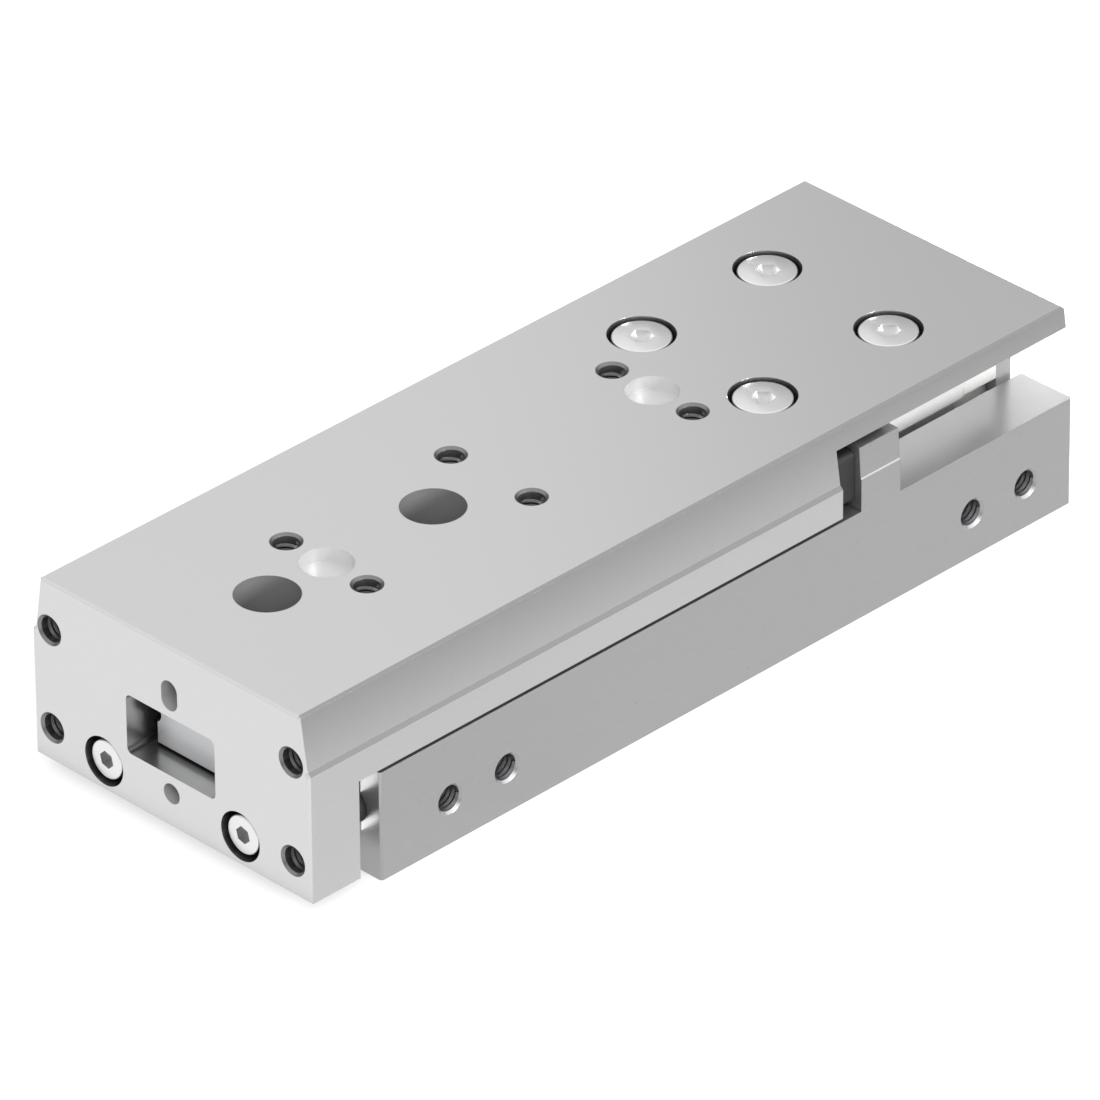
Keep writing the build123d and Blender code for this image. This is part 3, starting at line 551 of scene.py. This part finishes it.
def make_screws(materials):
    """Table and yoke screws with sockets and rounded rims, in place of the plain ones."""
    tip_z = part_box("carriage_screws")[0][2]
    head_z = TABLE_TOP_Z - CARRIAGE_SCREW_RECESS
    head, shank, socket = CARRIAGE_SCREW
    model = socket_screw(head, shank, socket, head_z - tip_z, TABLE_SOCKET_SHAPE)
    for distance in CARRIAGE_SCREW_DISTANCES:
        for side in SIDES:
            place = (YOKE_FACE_X + distance, side * CARRIAGE_SCREW_HALF_SPREAD, head_z)
            piece = copy_piece(model, Matrix.Translation(place))
            name = f"table_screw_{round(distance / MM)}_{SIDE_NAMES[side]}"
            finish_piece(piece, name, "slide", materials["screw_steel"])
            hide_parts("carriage_screws")
    bpy.data.objects.remove(model)
    head_x = YOKE_FACE_X + ROD_SCREW_RECESS
    tip_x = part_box("rod_screws")[1][0]
    head, shank, socket = ROD_SCREW
    model = socket_screw(head, shank, socket, tip_x - head_x, ROD_SOCKET_SHAPE)
    for side in SIDES:
        place = into_hole(head_x, side * ROD_SCREW_HALF_SPREAD, ROD_SCREW_HEIGHT, FORWARD)
        piece = copy_piece(model, place)
        name = f"yoke_screw_{SIDE_NAMES[side]}"
        finish_piece(piece, name, "slide", materials["socket_steel"])
        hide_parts("rod_screws")
    bpy.data.objects.remove(model)


def hole_skin(hole, reach=0.0, through=False, taper=1.0):
    """Thin skin of a hole whose mouth is at z = 0: its wall, and its floor if it has one.

    reach lengthens the hole along x into a slot, and taper is the share of its width that
    it keeps at its floor.
    """
    radius, depth = hole
    skin = upright_cylinder(HEAD_SEGMENTS, radius, -depth, 0)
    bpy.ops.object.mode_set(mode="EDIT")
    bpy.ops.mesh.select_all(action="SELECT")
    bpy.ops.transform.rotate(
        value=math.pi / HEAD_SEGMENTS, orient_axis="Z", center_override=(0, 0, 0))
    for side in SIDES:
        select(skin, "EDGE", lambda end: end.x * side > 0)
        bpy.ops.transform.translate(value=(side * reach / 2, 0, 0))
    select(skin, "FACE", lambda centre, normal: normal.z < -STRAIGHT)
    bpy.ops.transform.resize(value=(taper, taper, 1))
    select(skin, "FACE", lambda centre, normal: normal.z > STRAIGHT)
    bpy.ops.mesh.inset(thickness=SKIN)
    bpy.ops.mesh.extrude_region_move(TRANSFORM_OT_translate={"value": (0, 0, SKIN - depth)})
    bpy.ops.transform.resize(value=(taper, taper, 1))
    if through:
        select(skin, "FACE", lambda centre, normal: (
            abs(normal.z) > STRAIGHT and centre.xy.length < radius / 2))
        bpy.ops.mesh.delete(type="FACE")
        select(skin, "EDGE", lambda end: end.z < SKIN + TINY - depth)
        bpy.ops.mesh.bridge_edge_loops()
    smooth(skin)
    return skin


def make_hole_skins(materials):
    """Machined skins of the centring holes, the access holes, the dowel hole and its slot."""
    bored = materials["aluminium_fine_bored"]
    drilled = materials["aluminium_drilled"]
    reamed = materials["aluminium_reamed"]
    centring = hole_skin(CENTRING)
    for index, distance in enumerate(TABLE_CENTRING):
        piece = copy_piece(centring, into_hole(YOKE_FACE_X + distance, 0, TABLE_TOP_Z, UP))
        finish_piece(piece, f"table_centring_{index + 1}", "slide", bored)
    for index, distance in enumerate(BASE_CENTRING):
        piece = copy_piece(centring, into_hole(YOKE_FACE_X + distance, 0, BASE_Z, DOWN))
        finish_piece(piece, f"base_centring_{index + 1}", "housing", bored)
    # The access, dowel and slot skins have darker greys: painted shade inside those holes
    access = hole_skin(ACCESS, through=True)
    for index, distance in enumerate(TABLE_ACCESS):
        piece = copy_piece(access, into_hole(YOKE_FACE_X + distance, 0, TABLE_TOP_Z, UP))
        finish_piece(piece, f"table_access_{index + 1}", "slide", drilled)
    dowel = hole_skin(DOWEL)
    piece = copy_piece(dowel, into_hole(YOKE_FACE_X, 0, DOWEL_HEIGHT, FORWARD))
    finish_piece(piece, "yoke_dowel_hole", "slide", reamed)
    slot = hole_skin(DOWEL, SLOT_LENGTH - 2 * DOWEL[0])
    piece = copy_piece(slot, into_hole(YOKE_FACE_X, 0, SLOT_HEIGHT, FORWARD))
    finish_piece(piece, "yoke_dowel_slot", "slide", reamed)
    for model in (centring, access, dowel, slot):
        bpy.data.objects.remove(model)


def make_floor():
    """White floor with the object's shadow, brighter near it in reflections, clear from below.

    It lies a hair under the base, so that the two faces don't mix where it is clear.
    """
    bpy.ops.object.select_all(action="DESELECT")
    bpy.ops.mesh.primitive_plane_add(size=FLOOR_SIZE, location=(0, 0, -FLOOR_GAP))
    floor = bpy.context.object
    floor.name = "floor"
    material, tree = empty_material("matt_white_paper")
    place = add(tree, "ShaderNodeTexCoord", {}).outputs["Object"]
    place = add(tree, "ShaderNodeSeparateXYZ", {"Vector": place})
    front = add(tree, "ShaderNodeMapRange", {
        "Value": place.outputs["X"], "From Min": FRONT_RAMP[0], "From Max": FRONT_RAMP[1],
        "To Min": GLOW_FRONT, "To Max": 0.0}, interpolation_type="SMOOTHSTEP")
    side = add(tree, "ShaderNodeMapRange", {
        "Value": place.outputs["Y"], "From Min": SIDE_RAMP[0], "From Max": SIDE_RAMP[1],
        "To Min": GLOW_FAR, "To Max": GLOW_SIDE}, interpolation_type="SMOOTHSTEP")
    level = add(tree, "ShaderNodeMath", {
        0: front.outputs[0], 1: side.outputs[0]}, operation="MAXIMUM")
    mirrored = add(tree, "ShaderNodeEmission", {"Color": WHITE, "Strength": level.outputs[0]})
    paper = add(tree, "ShaderNodeBsdfDiffuse", {"Color": linear("#F4F4F4")})
    glow = add(tree, "ShaderNodeEmission", {"Color": WHITE, "Strength": GLOW_CAMERA})
    shown = add(tree, "ShaderNodeMixShader", {
        0: GLOW_SHARE, 1: paper.outputs[0], 2: glow.outputs[0]})
    ray = add(tree, "ShaderNodeLightPath", {})
    clear = add(tree, "ShaderNodeMath", {
        0: ray.outputs["Is Camera Ray"], 1: ray.outputs["Is Transmission Ray"]},
        operation="MAXIMUM")
    seen = add(tree, "ShaderNodeMixShader", {
        0: clear.outputs[0], 1: paper.outputs[0], 2: shown.outputs[0]})
    above = add(tree, "ShaderNodeMixShader", {
        0: ray.outputs["Is Glossy Ray"], 1: seen.outputs[0], 2: mirrored.outputs[0]})
    below = add(tree, "ShaderNodeBsdfTransparent", {})
    back = add(tree, "ShaderNodeNewGeometry", {}).outputs["Backfacing"]
    both = add(tree, "ShaderNodeMixShader", {0: back, 1: above.outputs[0], 2: below.outputs[0]})
    add(tree, "ShaderNodeOutputMaterial", {"Surface": both.outputs[0]})
    floor.data.materials.append(material)


def make_world():
    """White world for the camera, and for the object one that dims ahead and low down."""
    world = bpy.data.worlds.new("studio")
    bpy.context.scene.world = world
    world.use_nodes = True
    tree = world.node_tree
    tree.nodes.clear()
    ray = add(tree, "ShaderNodeLightPath", {})
    heading = add(tree, "ShaderNodeTexCoord", {}).outputs["Generated"]
    towards = add(tree, "ShaderNodeVectorMath", {
        0: heading, 1: WORLD_HEADING}, operation="DOT_PRODUCT")
    level = add(tree, "ShaderNodeMapRange", {
        "Value": towards.outputs["Value"], "From Min": WORLD_RAMP[0],
        "From Max": WORLD_RAMP[1], "To Min": WORLD_BRIGHT, "To Max": WORLD_DARK},
        interpolation_type="SMOOTHSTEP")
    height = add(tree, "ShaderNodeSeparateXYZ", {"Vector": heading}).outputs["Z"]
    share = add(tree, "ShaderNodeMapRange", {
        "Value": height, "From Min": HORIZON_RAMP[0], "From Max": HORIZON_RAMP[1],
        "To Min": HORIZON_SHARE, "To Max": 1.0}, interpolation_type="SMOOTHSTEP")
    level = add(tree, "ShaderNodeMath", {
        0: level.outputs[0], 1: share.outputs[0]}, operation="MULTIPLY")
    soft = add(tree, "ShaderNodeBackground", {"Strength": level.outputs[0]})
    white = add(tree, "ShaderNodeBackground", {"Color": WHITE, "Strength": 1.0})
    both = add(tree, "ShaderNodeMixShader", {
        0: ray.outputs["Is Camera Ray"], 1: soft.outputs[0], 2: white.outputs[0]})
    add(tree, "ShaderNodeOutputWorld", {"Surface": both.outputs[0]})


def add_lamp(name, place, aim, size, power, mirrored=True):
    """Soft area lamp at a place, aimed at a point, of (width, height) and a power in watts."""
    lamp = bpy.data.lights.new(name, "AREA")
    lamp.shape = "RECTANGLE"
    lamp.size, lamp.size_y = size
    lamp.energy = power
    holder = bpy.data.objects.new(name, lamp)
    holder.location = place
    holder.visible_camera = False
    holder.visible_glossy = mirrored
    holder.rotation_euler = (Vector(aim) - Vector(place)).to_track_quat("-Z", "Y").to_euler()
    bpy.context.scene.collection.objects.link(holder)


def make_lights():
    """Lamps: a key and a fill on the photograph's side, and three small glows."""
    # Not mirrored, because from behind it would turn the table top white
    add_lamp("key", place=(-0.75, -0.75, 0.95), aim=(0, 0, 0),
             size=(0.7, 0.7), power=9.0, mirrored=False)
    add_lamp("low_fill", place=(0.15, -0.9, 0.26), aim=(0.02, 0, 0.01),
             size=(0.3, 0.3), power=6.0)
    # A soft glow on the front half of the table top
    add_lamp("top_glow", place=(0.12, 0.24, 0.24), aim=(-0.04, 0, 0.02),
             size=(0.22, 0.22), power=0.05)
    # Low behind the rear end, along the top of the housing's wall
    add_lamp("rear_glow", place=(0.085, 0.02, 0.0155), aim=(0.045, -0.014, 0.011),
             size=(0.01, 0.01), power=0.03)
    # In the gap behind the yoke, whose walls look light in the photograph
    add_lamp("gap_glow", place=(-0.0403, -0.0146, 0.0072), aim=(-0.0403, -0.03, 0.0072),
             size=(0.0022, 0.0065), power=0.00008)


def make_camera():
    """Camera at the photograph's viewing angle."""
    lens = bpy.data.cameras.new("camera")
    lens.lens = CAMERA_LENS
    lens.sensor_width = CAMERA_SENSOR
    camera = bpy.data.objects.new("camera", lens)
    turn = Matrix.Rotation(CAMERA_AZIMUTH, 4, "Z")
    tilt = Matrix.Rotation(math.pi / 2 - CAMERA_ELEVATION, 4, "X")
    roll = Matrix.Rotation(CAMERA_ROLL, 4, "Z")
    camera.matrix_world = Matrix.Translation(CAMERA_PLACE) @ turn @ tilt @ roll
    bpy.context.scene.collection.objects.link(camera)
    bpy.context.scene.camera = camera


make_camera()
surfaces = make_materials()
dress_nodes(surfaces)
make_threads(surfaces)
make_screws(surfaces)
make_hole_skins(surfaces)
make_floor()
make_world()
make_lights()
bpy.context.scene.view_settings.view_transform = "Standard"
